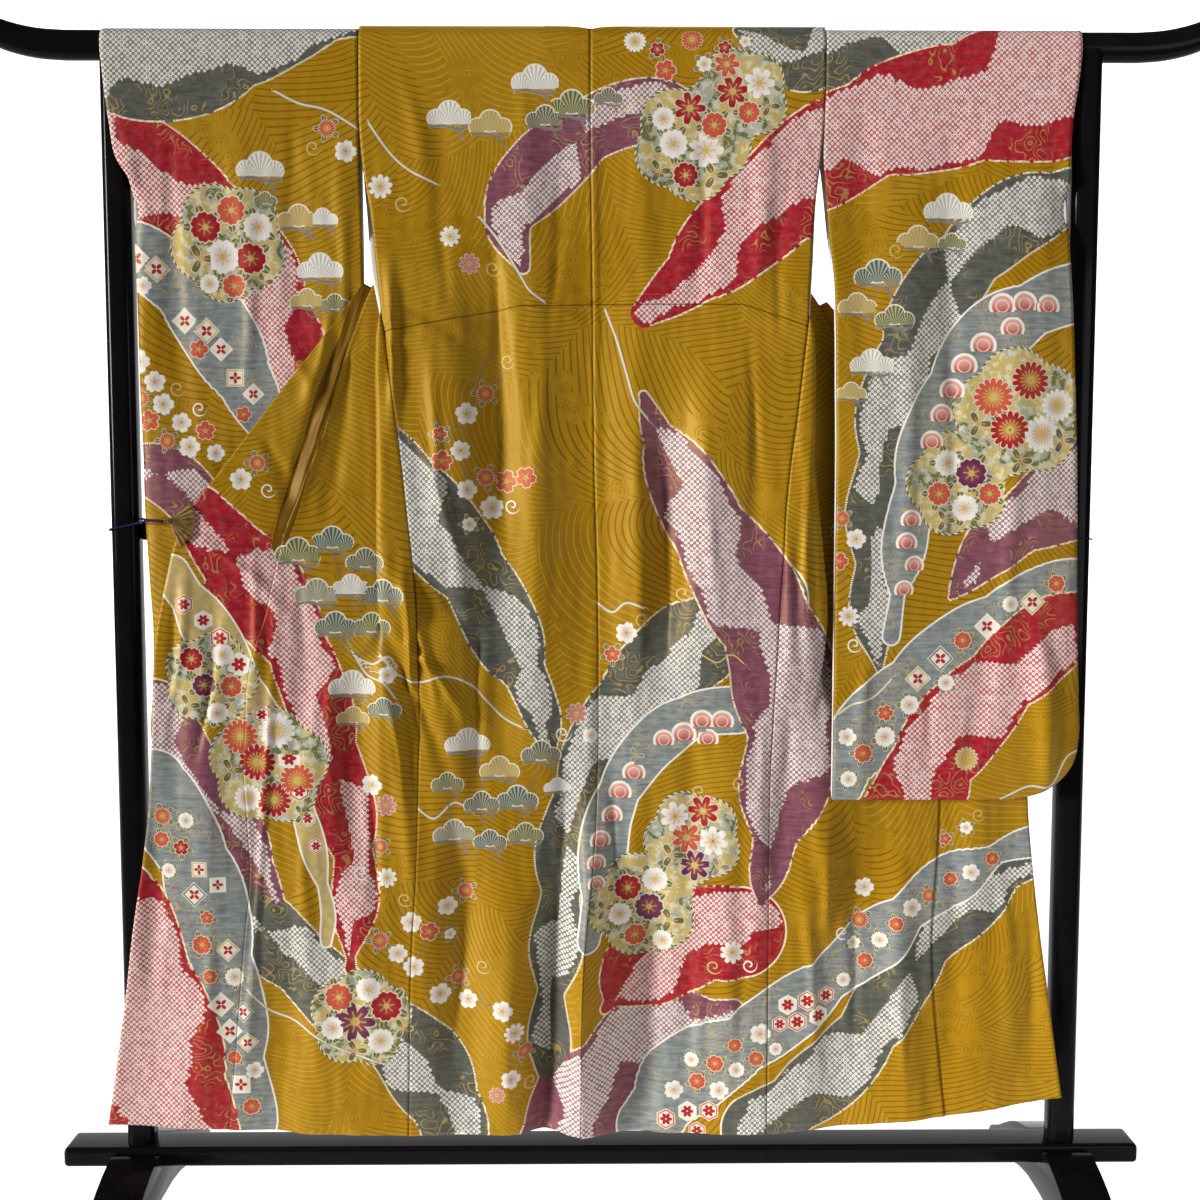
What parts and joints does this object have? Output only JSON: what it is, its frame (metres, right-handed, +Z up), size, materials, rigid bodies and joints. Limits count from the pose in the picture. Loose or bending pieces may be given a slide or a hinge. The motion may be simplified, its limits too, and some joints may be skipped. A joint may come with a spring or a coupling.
{
  "type": "furisode kimono on a kimono stand",
  "caption": "Long-sleeved kimono hung over a lacquered wooden kimono stand, back to the viewer, fronts spread outwards and held by fan clips.",
  "frame": {"origin": "on the floor, under the middle of the stand", "axes": "+Z up, +X to the right of a viewer who faces the kimono's back, +Y away from that viewer; the kimono's back faces -Y"},
  "size_m": [1.85, 0.51, 1.804],
  "materials": {
    "silk": "soft silk satin with damask figure and dyed bands",
    "lacquer": "glossy black lacquer",
    "brass": "aged, satin",
    "cord": "matte twisted cord"
  },
  "bodies": {
    "root": {"base_beam": "lacquer", "body_left": "silk", "body_right": "silk", "clip_left": "brass", "clip_right": "brass", "collar": "silk", "cord_left": "cord", "cord_right": "cord", "foot_left": "lacquer", "foot_right": "lacquer", "middle_rail": "lacquer", "okumi_left": "silk", "okumi_right": "silk", "post_left": "lacquer", "post_right": "lacquer", "sleeve_left": "silk", "sleeve_right": "silk", "top_bar": "lacquer"}
  },
  "joints": []
}
